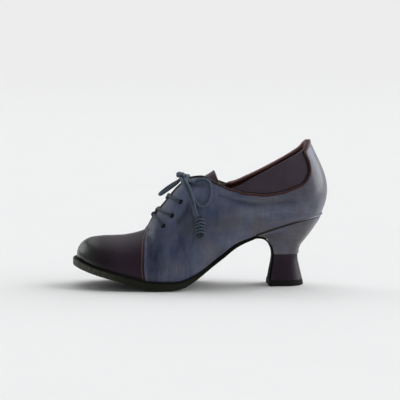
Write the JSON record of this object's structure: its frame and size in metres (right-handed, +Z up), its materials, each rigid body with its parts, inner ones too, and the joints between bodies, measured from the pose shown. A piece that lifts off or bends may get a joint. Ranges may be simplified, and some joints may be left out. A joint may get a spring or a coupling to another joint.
{
  "type": "dress shoe",
  "caption": "Lace-up dress shoe with a round toe, two-tone leather upper, scooped collar, tied waxed lace and a curved spool heel; worn on the foot or set out on a floor or shelf.",
  "frame": {"origin": "centre of the shoe's box, without the free lace, on the floor that heel and forefoot stand on", "axes": "+X towards the heel with the toe at -X, -Y to the lateral (outer) side of this left shoe, +Z up"},
  "size_m": [0.2408, 0.0868, 0.1388],
  "materials": {
    "blue_leather": "burnished, mottled blue-grey with brown",
    "plum_leather": "fine grain, black burnish at the toe",
    "sole_leather": "dyed and brushed edge",
    "welt_leather": "black, waxed",
    "lining_leather": "smooth reddish brown",
    "heel_rubber": "matt black",
    "lace_cord": "waxed round cord"
  },
  "bodies": {
    "root": {"upper": "blue_leather", "outsole": "sole_leather", "welt": "welt_leather", "insole": "lining_leather", "tongue": "plum_leather", "heel_block": "blue_leather", "heel_cuff": "plum_leather", "top_lift": "heel_rubber", "lace_crossings": "lace_cord", "lace_knot": "lace_cord", "lace_loop_lateral": "lace_cord", "lace_loop_medial": "lace_cord", "lace_end_front": "lace_cord", "lace_end_rear": "lace_cord", "lace_sennit": "lace_cord"}
  },
  "joints": []
}
